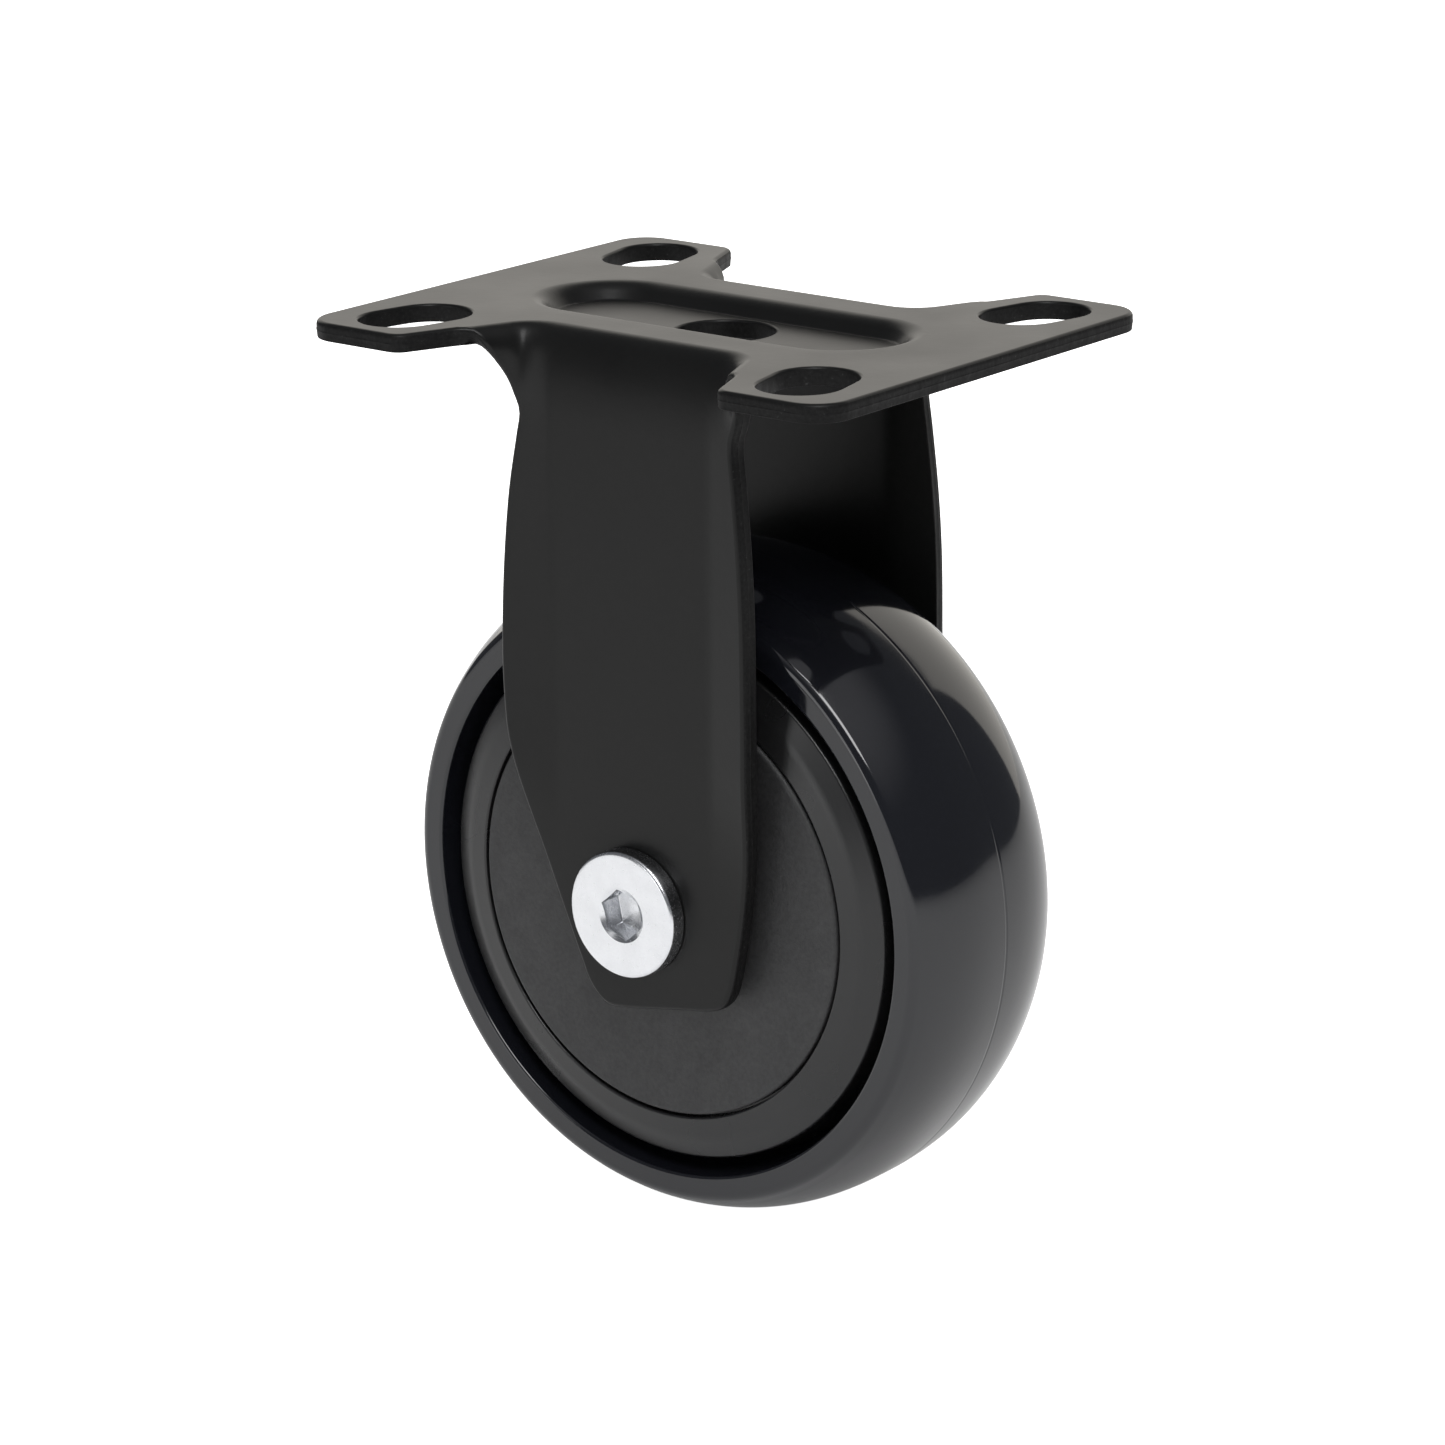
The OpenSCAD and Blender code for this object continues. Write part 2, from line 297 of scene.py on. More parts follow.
def edge_steps(r_top, r_bot, n_top=5, n_bot=2, lip=False):
    """(inset, depth, share of the normal, share of the outward direction) round a sheet's edge."""
    out = []
    for i in range(n_top + 1):
        t = i / n_top * PI / 2
        rim = 0.03 if lip else 0.0
        out.append((rim + (r_top - rim) * (1 - math.sin(t)), r_top * (1 - math.cos(t)), math.cos(t), math.sin(t)))
    if lip:
        out += [(0.03, 0.95, 0.0, 1.0), (0.0, 1.02, 0.35, 0.94), (0.0, 1.12, -0.25, 0.97), (0.045, 1.25, -0.12, 0.99)]
    else:
        out.append((0.0, 0.5 * (r_top + SHEET - r_bot), 0.0, 1.0))
    low = 0.09 if lip else 0.0
    for i in range(n_bot + 1):
        t = i / n_bot * PI / 2
        out.append((low + r_bot * (1 - math.cos(t)), SHEET - r_bot * (1 - math.sin(t)), -math.sin(t), math.cos(t)))
    out.append((r_top, SHEET, -1.0, 0.0))
    return out


def inside(pts, poly):
    x, y = pts[:, 0][:, None], pts[:, 1][:, None]
    a, b = poly, np.roll(poly, -1, 0)
    ax, ay, bx, by = a[:, 0][None], a[:, 1][None], b[:, 0][None], b[:, 1][None]
    cross = ((ay > y) != (by > y)) & (x < (bx - ax) * (y - ay) / (by - ay + 1e-30) + ax)
    return cross.sum(1) % 2 == 1


def clearance(pts, poly):
    a, b = poly, np.roll(poly, -1, 0)
    d = b - a
    best = np.full(len(pts), 1e9)
    for i in range(len(a)):
        l2 = (d[i] ** 2).sum()
        t = np.clip(((pts - a[i]) @ d[i]) / max(l2, 1e-12), 0, 1)
        best = np.minimum(best, np.hypot(*(pts - a[i] - t[:, None] * d[i]).T))
    return best


def triangulate(outer, holes, points, rings=()):
    """Constrained triangles of a region. Returns all the points in 2D and the triangles."""
    all_pts = [outer] + list(holes) + list(rings) + [points]
    offs = np.cumsum([0] + [len(p) for p in all_pts])
    pts = np.concatenate(all_pts)
    edges = []
    for k in range(1 + len(holes) + len(rings)):
        n = len(all_pts[k])
        edges += [(offs[k] + i, offs[k] + (i + 1) % n) for i in range(n)]
    res = delaunay_2d_cdt([Vector(p) for p in pts], edges, [], 0, 1e-5)
    verts, tris, orig = res[0], res[2], res[3]
    remap = [o[0] if o else -1 for o in orig]
    pts_out = pts
    out = []
    for t in tris:
        g = [remap[i] for i in t]
        if min(g) >= 0:
            out.append(g)
    out = np.array(out)
    c = pts_out[out].mean(1)
    ok = inside(c, outer)
    for h in holes:
        ok &= ~inside(c, h)
    out = out[ok]
    a, b, c = pts_out[out[:, 0]], pts_out[out[:, 1]], pts_out[out[:, 2]]
    area = (b[:, 0] - a[:, 0]) * (c[:, 1] - a[:, 1]) - (b[:, 1] - a[:, 1]) * (c[:, 0] - a[:, 0])
    out[area < 0] = out[area < 0][:, ::-1]
    return pts_out, out[np.abs(area) > 1e-9]


class Sheet:
    """Collects the points, normals and faces of the thick sheet."""

    def __init__(self):
        self.v, self.n, self.f, self.m = [], [], [], []
        self.count = 0

    def add(self, v, n, faces, mats):
        self.v.append(v)
        self.n.append(n)
        self.f += [[i + self.count for i in f] for f in faces]
        self.m += mats
        self.count += len(v)

    def skin(self, fn_frame, pts, tris, mirror):
        p, n, _, _ = fn_frame(pts)
        for top in (True, False):
            v = p if top else p - n * SHEET
            nn = n if top else -n
            t = tris if top == (not mirror) else tris[:, ::-1]
            if mirror:
                v, nn = v * [1, -1, 1], nn * [1, -1, 1]
            self.add(v, nn, t.tolist(), [0] * len(t))

    def band(self, parts, steps, flip=False):
        """parts: list of (fn_frame, q, m, outward, mirror) that follow one another round one closed loop."""
        rings_v, rings_n = [], []
        for inset, depth, cn, co in steps:
            vs, ns = [], []
            for fn_frame, q, m, outw, mirror in parts:
                p, n, _, _ = fn_frame(q + m * inset)
                v = p - n * depth
                nn = n * cn + outw * co
                nn /= np.linalg.norm(nn, axis=1, keepdims=True)
                if mirror:
                    v, nn = v * [1, -1, 1], nn * [1, -1, 1]
                vs.append(v)
                ns.append(nn)
            rings_v.append(np.concatenate(vs))
            rings_n.append(np.concatenate(ns))
        n = len(rings_v[0])
        faces, mats = [], []
        for k in range(len(steps) - 1):
            for i in range(n):
                j = (i + 1) % n
                f = [k * n + i, k * n + j, (k + 1) * n + j, (k + 1) * n + i]
                faces.append(f[::-1] if flip else f)
                mats.append(1 if 3 <= k < len(steps) - 2 else 0)
        self.add(np.concatenate(rings_v), np.concatenate(rings_n), faces, mats)


def flat_to_leg(xy):
    """Flat points beside an ear's inner side, in the leg's own coordinates (right-hand ear)."""
    d = np.asarray(xy, float) - P3
    return np.stack([S2 + d @ SIDE_T, d @ SIDE_N], 1)


LEG_LEFT = [(-14.4, -9.4), (-14.8, -12), (-15.8, -18), (-16.5, -25), (-16.9, -32), (-17.0, -38),
            (-16.7, -44.5), (-15.9, -49.5), (-14.4, -54.5), (-11.3, -62), (-8.0, -69.5),
            (-6.5, -72.6), (-4.2, -74.6), (-1.0, -74.5), (5, -73.4), (10, -72.5),
            (12.3, -71.4), (13.4, -69.2), (14.5, -64), (15.4, -58), (16.0, -52),
            (16.2, -44), (16.2, -36), (16.1, -28), (15.7, -21), (15.0, -14), (14.5, -9.4)]
NOSE_R = 2.0
EAR_R = 4.2
TOP_R = 0.55            # rounding that the press leaves on the plate's upper edges
HOLE_R = 0.32


def fork_mesh():
    sh = Sheet()
    # --- outline of a leg, from the right-hand ear's tip to the left-hand one
    knee_x = P3[0] + (HALF_W - P3[1]) * SIDE_T[0] / SIDE_T[1]
    tl = NOSE_R / math.tan((PI - SIDE_A) / 2)
    nose_c = (knee_x + tl, HALF_W - NOSE_R)
    # the seam between plate and leg meets the tip's edge here
    yc = HALF_W - TOP_R
    xc = P3[0] + ((yc - P3[1]) * SIDE_N[1] - SEAM_W) / -SIDE_N[0]
    tip = [(xc, HALF_W)]
    nose = arc(nose_c, NOSE_R, 90, 90 + math.degrees(SIDE_A), 9)
    flat = np.concatenate([tip, nose])
    right_flat = flat_to_leg(flat)
    s_e = 24.4
    right_side = np.array([[right_flat[-1, 0], 0.0], [s_e, 0.0]])
    trial = np.linspace(6, 26, 2001)
    tcx, tcy, _, _ = fold_line(trial)
    twx = wall_x(trial)

    def edge_to_leg(p):
        w = w_at(p[1])
        f = float(fold_at(w)[0])
        s = np.interp(abs(p[0]), tcx + (twx - tcx) * f, trial) if abs(p[0]) > 7 else abs(p[0])
        return (math.copysign(s, p[0]), w)

    dive = [(s_e, 0.0), (23.8, 0.12), (23.4, 0.45), (23.15, 1.05), (23.0, 1.9), (22.9, 3.0), (22.7, 4.4), (22.15, 5.8), (21.15, 7.2), (19.8, 8.8)]

    outline = [edge_to_leg(p) for p in LEG_LEFT][::-1]          # right neck, down, round the foot, up to the left neck
    mid = dive + outline + [(-a, b) for a, b in dive[::-1]]
    mid = catmull(mid, 8)
    path3 = np.concatenate([resample(np.concatenate([right_side, mid[1:], [[-right_side[0, 0], 0.0]]]), 0.8)])
    left_flat = right_flat[::-1] * [-1, 1]
    q = np.concatenate([right_flat[:1], right_flat[1:-1], path3, left_flat[1:-1], left_flat[-1:]])
    m, outw = inward(leg_frame, q, False, True)
    for k, sgn in ((0, 1), (-1, -1)):
        # at the seam the edge is the plain straight tip of the ear
        m[k] = flat_to_leg(np.array([[xc, HALF_W - 1.0]]))[0] - flat_to_leg(np.array([[xc, HALF_W]]))[0]
        m[k] = m[k] * [sgn, 1]
        outw[k] = (0, 1, 0)
    inset = q + m * TOP_R
    s_cross = inset[0, 0]
    seam = np.linspace(-s_cross, s_cross, 75)[1:-1]
    seam = np.stack([seam, np.full(len(seam), SEAM_W)], 1)
    poly = np.concatenate([inset, seam])
    hole_c = np.array([0.0, w_at(AXLE_Z)])
    hole = arc(hole_c, 4.1, 0, 360, 65)[:-1]
    hm, hout = inward(leg_frame, hole, True, False)
    hole_in = hole + hm * HOLE_R
    cols = np.arange(-26, 26.01, 0.8)
    rows = np.concatenate([[-1.3, -0.6, 0.0], np.arange(0.35, 4.0, 0.35), np.arange(4.2, 80, 0.85)])
    grid = np.stack([g.ravel() for g in np.meshgrid(cols, rows)], 1)
    grid = grid[inside(grid, poly)]
    scaled = np.array([1.0, 1.0])
    grid = grid[clearance(grid * scaled, poly * scaled) > 0.38]
    far = np.hypot(*(grid - hole_c).T) > 4.1 + HOLE_R + 0.35
    grid = grid[far]
    pts, tris = triangulate(poly, [hole_in], grid)
    steps = edge_steps(TOP_R, 0.12, lip=True)
    hole_steps = edge_steps(HOLE_R, 0.1, 3, 2)
    for mirror in (False, True):
        sh.skin(leg_frame, pts, tris, mirror)
        sh.band([(leg_frame, hole, hm, hout, mirror)], hole_steps, flip=mirror)
    # --- the plate
    corner = arc((HALF_L - EAR_R, HALF_W - EAR_R), EAR_R, 90, 0, 13)
    right = np.concatenate([[(xc, HALF_W)], corner, corner[::-1] * [1, -1], [(xc, -HALF_W)]])
    right = resample_corner(right)
    pm, pout = inward(plate_frame, right, False, False)
    pm[0], pm[-1] = (0, -1), (0, 1)
    left = right[::-1] * [-1, 1]
    lm = pm[::-1] * [-1, 1]
    lout = pout[::-1] * [-1, 1, 1]
    seam_xy = leg_point(seam)[:, :2]
    plate_poly = np.concatenate([(right + pm * TOP_R), (seam_xy * [1, -1])[::-1], (left + lm * TOP_R), seam_xy])
    holes, hole_parts = [], []
    for sx in (-1, 1):
        for sy in (-1, 1):
            st = np.concatenate([arc((0, 2.0), 4.5, 0, 180, 25), arc((0, -2.0), 4.5, 180, 360, 25)])
            a = math.radians(-13 * sx * sy)
            rot = np.array([[math.cos(a), -math.sin(a)], [math.sin(a), math.cos(a)]])
            st = st @ rot.T + [26.5 * sx, 20 * sy]
            st = np.concatenate([resample(np.concatenate([st, st[:1]]), 0.7)[:-1]])
            hm2, ho2 = inward(plate_frame, st, True, False)
            holes.append(st + hm2 * HOLE_R)
            hole_parts.append((plate_frame, st, hm2, ho2, False))
    ch = arc((0, 0), 5.5, 0, 360, 57)[:-1]
    cm, co = inward(plate_frame, ch, True, False)
    holes.append(ch + cm * HOLE_R)
    hole_parts.append((plate_frame, ch, cm, co, False))
    rings = []
    for s in DIP[1:-1, 0][::1]:
        if s < R_FLOOR - 0.01:
            continue
        half = np.concatenate([arc((RC, 0), s, -90, 90, 33), [(x, s) for x in np.linspace(RC, -RC, 33)[1:-1]],
                               arc((-RC, 0), s, 90, 270, 33), [(x, -s) for x in np.linspace(-RC, RC, 33)[1:-1]]])
        if not rings or abs(s - last) > 0.05:
            rings.append(half)
            last = s
    gx, gy = np.meshgrid(np.arange(-36, 36.1, 1.5), np.arange(-30, 30.1, 1.5))
    grid = np.stack([gx.ravel(), gy.ravel()], 1)
    grid = grid[inside(grid, plate_poly)]
    grid = grid[clearance(grid, plate_poly) > 0.7]
    s = np.hypot(np.maximum(np.abs(grid[:, 0]) - RC, 0), grid[:, 1])
    grid = grid[(s < R_FLOOR - 0.6) | (s > DIP[-2, 0] + 0.6)]
    for h in holes:
        grid = grid[~inside(grid, h)]
        grid = grid[clearance(grid, h) > 0.5]
    pts, tris = triangulate(plate_poly, holes, grid, rings)
    sh.skin(plate_frame, pts, tris, False)
    for part in hole_parts:
        sh.band([part], hole_steps)
    # --- the outer edge all the way round
    sh.band([(plate_frame, right[1:-1], pm[1:-1], pout[1:-1], False),
             (leg_frame, q, m, outw, True),
             (plate_frame, left[1:-1], lm[1:-1], lout[1:-1], False),
             (leg_frame, q[::-1], m[::-1], outw[::-1], False)], steps)
    v = np.concatenate(sh.v)
    n = np.concatenate(sh.n)
    v, n, f, kept = weld(v, n, sh.f)
    mats = [sh.m[k] for k in kept]
    return v, n, f, mats


def resample_corner(p):
    out = [p[0]]
    for a, b in zip(p[:-1], p[1:]):
        n = max(1, int(np.linalg.norm(b - a) / 1.2))
        for k in range(1, n + 1):
            out.append(a + (b - a) * k / n)
    return np.array(out)


# ------------------------------------------------------------------ turned pieces
def fillet(points):
    """points: (r, y, radius) round a closed profile. Returns points with arcs, and their normals (to the right of the walk)."""
    n = len(points)
    out, nor = [], []
    for i in range(n):
        a, b, c = (np.array(points[(i + k) % n][:2], float) for k in (-1, 0, 1))
        rad = points[i][2]
        u, w = (a - b) / np.linalg.norm(a - b), (c - b) / np.linalg.norm(c - b)
        ang = math.acos(max(-1, min(1, float(u @ w))))
        n1, n2 = np.array([-u[1], u[0]]), np.array([w[1], -w[0]])
        if rad <= 0 or ang > PI - 1e-3:
            m = n1 + n2
            out.append(b)
            nor.append(m / (np.linalg.norm(m) + 1e-12))
            continue
        t = rad / math.tan(ang / 2)
        lim = 0.49 * min(np.linalg.norm(a - b), np.linalg.norm(c - b))
        if t > lim:
            t = lim
            rad = t * math.tan(ang / 2)
        p1, p2 = b + u * t, b + w * t
        centre = b + (u + w) / np.linalg.norm(u + w) * rad / math.sin(ang / 2)
        k = max(3, int(math.degrees(PI - ang) / 11) + 1)
        v1, v2 = p1 - centre, p2 - centre
        a1 = math.atan2(v1[1], v1[0])
        da = math.atan2(v2[1], v2[0]) - a1
        da = (da + PI) % (2 * PI) - PI
        sgn = 1 if (n1 @ (v1 / rad)) > 0 else -1
        for j in range(k + 1):
            t2 = a1 + da * j / k
            e = np.array([math.cos(t2), math.sin(t2)])
            out.append(centre + e * rad)
            nor.append(e * sgn)
    return np.array(out), np.array(nor)


def lathe(profile, normals, seg):
    """Turns (r, y) points about the axle. Returns points, normals and quads."""
    n = len(profile)
    t = np.arange(seg) * 2 * PI / seg
    r, y = profile[:, 0], profile[:, 1]
    v = np.stack([np.outer(np.cos(t), r), np.tile(y, (seg, 1)), np.outer(np.sin(t), r) + AXLE_Z], -1).reshape(-1, 3)
    nn = np.stack([np.outer(np.cos(t), normals[:, 0]), np.tile(normals[:, 1], (seg, 1)), np.outer(np.sin(t), normals[:, 0])], -1).reshape(-1, 3)
    f = []
    for i in range(seg):
        j = (i + 1) % seg
        for k in range(n):
            l = (k + 1) % n
            f.append([i * n + k, i * n + l, j * n + l, j * n + k])
    return v, nn, f


def area_sign(p):
    x, y = p[:, 0], p[:, 1]
    return 0.5 * float((x * np.roll(y, -1) - y * np.roll(x, -1)).sum())


def turned(name, profile, seg=256):
    pts = profile
    poly = np.array([q[:2] for q in pts])
    if area_sign(poly) < 0:
        pts = pts[::-1]
    # counter-clockwise in (r, y): the outside is on the right of the walk
    p, n = fillet(pts)
    v, nn, f = lathe(p, n, seg)
    return v, nn, f


def crown(y):
    return 37.5 - 3.15 * (np.abs(y) / 12.4) ** 2.6


def tyre_mesh():
    pts = []
    ys = np.linspace(-10.9, -0.3, 36)
    right = [(float(crown(a)), float(a), 0.0) for a in ys]
    seam = [(37.5, -0.17, 0), (37.43, 0.0, 0), (37.5, 0.17, 0)]      # the mould's parting line
    left = [(r, -a, 0.0) for r, a, _ in right[::-1]]
    pts += [(30.55, 6.6, 0.02), (30.55, 2.5, 0.1), (32.3, 2.5, 0.2), (32.3, -2.5, 0.2), (30.55, -2.5, 0.1), (30.55, -6.6, 0.02),
            (31.3, -9.0, 3.0), (31.6, -12.4, 0.4), (34.3, -12.4, 1.4)]
    pts += right + seam + left
    pts += [(34.3, 12.4, 1.4), (31.6, 12.4, 0.4), (31.3, 9.0, 3.0)]
    return turned("tyre", pts, 288)


def core_mesh():
    half = [(30.5, 6.6, 0.02), (29.95, 9.0, 3.0), (29.75, 11.3, 0.5), (27.3, 12.25, 6.0), (24.72, 12.72, 0.25),
            (24.68, 11.5, 0.05), (24.0, 11.5, 0.05), (24.0, 1.5, 0.6), (14.5, 1.5, 0.6), (14.5, 11.2, 0.3),
            (11.0, 11.2, 0.2), (11.0, 4.2, 0.05), (9.6, 4.2, 0.1)]
    prof = [(30.5, 2.5, 0.1)] + half + [(r, -y, q) for r, y, q in half[::-1]] + [(30.5, -2.5, 0.1), (32.3, -2.5, 0.2), (32.3, 2.5, 0.2)]
    v, n, f = turned("core", prof, 256)
    vs, ns, fs = [v], [n], list(f)
    base = len(v)
    # ribs of the web, hidden by the covers
    for i in range(8):
        a = i * PI / 4
        c, s = math.cos(a), math.sin(a)
        b = []
        for x in (14.2, 24.2):
            for z in (-1.0, 1.0):
                for y in (-9.0, 9.0):
                    b.append((x * c - z * s, y, x * s + z * c + AXLE_Z))
        b = np.array(b)
        quads = [(0, 1, 3, 2), (4, 6, 7, 5), (0, 4, 5, 1), (2, 3, 7, 6), (0, 2, 6, 4), (1, 5, 7, 3)]
        for q in quads:
            pts = b[list(q)]
            nn = np.cross(pts[1] - pts[0], pts[2] - pts[0])
            nn /= np.linalg.norm(nn)
            if nn @ (pts.mean(0) - b.mean(0)) < 0:
                pts, nn = pts[::-1], -nn
            vs.append(pts)
            ns.append(np.tile(nn, (4, 1)))
            fs.append([base, base + 1, base + 2, base + 3])
            base += 4
    return np.concatenate(vs), np.concatenate(ns), fs


def cover_mesh(s):
    prof = [(6.8, 11.5, 0.1), (22.6, 11.5, 0.1), (22.6, 9.6, 0.1), (23.8, 9.6, 0.2), (23.8, 11.5, 0.05),
            (24.45, 11.5, 0.1), (24.4, 12.8, 0.55), (6.8, 12.8, 0.25)]
    return turned("cover", [(r, s * y, q) for r, y, q in prof], 256)


# ------------------------------------------------------------------ bolt heads
def head_mesh(side, af, depth, shank_r, shank_from, shank_to, turn=0.0):
    """Flat round head with a bevelled rim and a countersunk hex socket. side is -1 for the near leg."""
    n = 192
    t = np.arange(n) * 2 * PI / n + math.radians(turn)
    hexr = (af / 2) / np.cos(((np.arange(n) * 2 * PI / n + PI / 6) % (PI / 3)) - PI / 6)
    top = LEG_Y + 2.2
    r_head = 7.1
    rings = []          # (radius array, height)
    ones = np.ones(n)
    cs = af / 2 + 0.55
    rings.append((ones * 0.02, top - depth - 0.55))
    rings.append((ones * af * 0.36, top - depth - 0.05))
    rings.append((hexr - 0.12, top - depth))
    rings.append((hexr, top - depth + 0.06))
    meet = (cs - hexr) * 0.62
    rings.append((hexr, top - np.maximum(meet, 0.02) - 0.03))
    rings.append((hexr + 0.02, top - np.maximum(meet, 0.02) + 0.01))
    rings.append((ones * (cs - 0.03), top - 0.035))
    rings.append((ones * (cs + 0.03), top))
    for r in (4.2, 5.4, 6.3):
        rings.append((ones * r, top))
    for a in np.linspace(0, 90, 6):
        rings.append((ones * (r_head - 0.42 + 0.42 * math.sin(math.radians(a))), top - 0.42 * (1 - math.cos(math.radians(a)))))
    rings.append((ones * r_head, top - 1.2))
    rings.append((ones * r_head, LEG_Y + 0.18))
    rings.append((ones * (r_head - 0.16), LEG_Y + 0.02))
    rings.append((ones * (shank_r + 0.1), LEG_Y + 0.02))
    rings.append((ones * shank_r, LEG_Y - 0.1))
    rings.append((ones * shank_r, shank_from))
    if shank_to is not None:
        rings.append((ones * shank_to[0], shank_from))
        rings.append((ones * shank_to[0], shank_to[1]))
        rings.append((ones * 0.02, shank_to[1]))
    else:
        rings.append((ones * 0.02, shank_from))
    v = []
    for r, h in rings:
        h = np.broadcast_to(h, (n,))
        v.append(np.stack([r * np.cos(t), side * h, r * np.sin(t) + AXLE_Z], 1))
    f = []
    for k in range(len(rings) - 1):
        for i in range(n):
            j = (i + 1) % n
            q = [k * n + i, k * n + j, (k + 1) * n + j, (k + 1) * n + i]
            f.append(q if side > 0 else q[::-1])
    f.append(list(range(n))[::-1] if side > 0 else list(range(n)))
    last = (len(rings) - 1) * n
    f.append([last + i for i in range(n)] if side > 0 else [last + i for i in range(n)][::-1])
    return np.concatenate(v), f


# ------------------------------------------------------------------ materials
def node_mat(name):
    mat = bpy.data.materials.new(name)
    mat.use_nodes = True
    nt = mat.node_tree
    nt.nodes.clear()
    out = nt.nodes.new("ShaderNodeOutputMaterial")
    bsdf = nt.nodes.new("ShaderNodeBsdfPrincipled")
    nt.links.new(bsdf.outputs[0], out.inputs[0])
    coord = nt.nodes.new("ShaderNodeTexCoord")
    return mat, nt, bsdf, coord.outputs["Object"]


def noise(nt, vec, scale, detail=3.0, rough=0.5, stretch=None):
    if stretch is not None:
        mp = nt.nodes.new("ShaderNodeMapping")
        mp.inputs["Scale"].default_value = stretch
        nt.links.new(vec, mp.inputs["Vector"])
        vec = mp.outputs[0]
    n = nt.nodes.new("ShaderNodeTexNoise")
    n.inputs["Scale"].default_value = scale
    n.inputs["Detail"].default_value = detail
    n.inputs["Roughness"].default_value = rough
    nt.links.new(vec, n.inputs["Vector"])
    return n.outputs["Fac"]


def remap(nt, val, a, b, c, d):
    n = nt.nodes.new("ShaderNodeMapRange")
    n.inputs["From Min"].default_value = a
    n.inputs["From Max"].default_value = b
    n.inputs["To Min"].default_value = c
    n.inputs["To Max"].default_value = d
    nt.links.new(val, n.inputs["Value"])
    return n.outputs["Result"]


def ramp(nt, val, stops):
    n = nt.nodes.new("ShaderNodeValToRGB")
    cr = n.color_ramp
    while len(cr.elements) < len(stops):
        cr.elements.new(0.5)
    for e, (p, c) in zip(cr.elements, stops):
        e.position = p
        e.color = (*c, 1)
    nt.links.new(val, n.inputs["Fac"])
    return n.outputs["Color"]


def bump(nt, bsdf, layers):
    """layers: (height, strength, distance in metres), chained."""
    last = None
    for h, strength, dist in layers:
        b = nt.nodes.new("ShaderNodeBump")
        b.inputs["Strength"].default_value = strength
        b.inputs["Distance"].default_value = dist
        nt.links.new(h, b.inputs["Height"])
        if last is not None:
            nt.links.new(last, b.inputs["Normal"])
        last = b.outputs["Normal"]
    nt.links.new(last, bsdf.inputs["Normal"])


def paint_material():
    mat, nt, b, co = node_mat("fork_black_paint")
    big = noise(nt, co, 60, 3)
    fine = noise(nt, co, 1500, 2)
    mid = noise(nt, co, 380, 3)
    nt.links.new(ramp(nt, big, [(0.3, (0.0062, 0.0062, 0.0061)), (0.7, (0.0078, 0.0078, 0.0076))]), b.inputs["Base Color"])
    nt.links.new(remap(nt, big, 0.3, 0.7, 0.30, 0.36), b.inputs["Roughness"])
    b.inputs["IOR"].default_value = 1.31
    bump(nt, b, [(mid, 0.10, 0.00012), (fine, 0.12, 0.00004)])
    return mat


def cut_material():
    mat, nt, b, co = node_mat("fork_sheared_edge")
    fine = noise(nt, co, 2600, 4, 0.6)
    streak = noise(nt, co, 900, 3, 0.6, (1, 1, 0.25))
    nt.links.new(ramp(nt, fine, [(0.35, (0.006, 0.006, 0.006)), (0.66, (0.011, 0.011, 0.011)), (0.80, (0.05, 0.05, 0.05))]), b.inputs["Base Color"])
    nt.links.new(remap(nt, streak, 0.3, 0.7, 0.42, 0.58), b.inputs["Roughness"])
    b.inputs["IOR"].default_value = 1.22
    bump(nt, b, [(streak, 0.3, 0.00014), (fine, 0.22, 0.00006)])
    return mat


def tyre_material():
    mat, nt, b, co = node_mat("tyre_gloss_black")
    big = noise(nt, co, 45, 2)
    mid = noise(nt, co, 220, 3)
    fine = noise(nt, co, 1800, 2)
    nt.links.new(ramp(nt, big, [(0.3, (0.0060, 0.0064, 0.0088)), (0.7, (0.0072, 0.0078, 0.0105))]), b.inputs["Base Color"])
    nt.links.new(remap(nt, mid, 0.3, 0.7, 0.07, 0.11), b.inputs["Roughness"])
    b.inputs["IOR"].default_value = 1.58
    bump(nt, b, [(mid, 0.05, 0.0001), (fine, 0.05, 0.00002)])
    return mat


def core_material():
    mat, nt, b, co = node_mat("core_moulded_black")
    big = noise(nt, co, 80, 2)
    fine = noise(nt, co, 2200, 3)
    nt.links.new(ramp(nt, big, [(0.3, (0.009, 0.009, 0.0094)), (0.7, (0.0115, 0.0115, 0.012))]), b.inputs["Base Color"])
    nt.links.new(remap(nt, big, 0.3, 0.7, 0.26, 0.32), b.inputs["Roughness"])
    bump(nt, b, [(fine, 0.10, 0.00003)])
    return mat


def cover_material():
    mat, nt, b, co = node_mat("cover_grained_black")
    grain = noise(nt, co, 2300, 4, 0.65)
    mid = noise(nt, co, 420, 3)
    nt.links.new(ramp(nt, grain, [(0.3, (0.018, 0.018, 0.0185)), (0.7, (0.030, 0.030, 0.031))]), b.inputs["Base Color"])
    nt.links.new(remap(nt, mid, 0.3, 0.7, 0.50, 0.60), b.inputs["Roughness"])
    bump(nt, b, [(grain, 0.55, 0.00008)])
    return mat


def zinc_material(name="zinc_plate", tint=(0.77, 0.78, 0.80), rough=(0.20, 0.28)):
    mat, nt, b, co = node_mat(name)
    big = noise(nt, co, 420, 4)
    fine = noise(nt, co, 3200, 3)
    nt.links.new(ramp(nt, big, [(0.3, tuple(c * 0.93 for c in tint)), (0.7, tint)]), b.inputs["Base Color"])
    nt.links.new(remap(nt, fine, 0.3, 0.7, *rough), b.inputs["Roughness"])
    b.inputs["Metallic"].default_value = 1.0
    bump(nt, b, [(big, 0.04, 0.00006), (fine, 0.05, 0.00002)])
    return mat


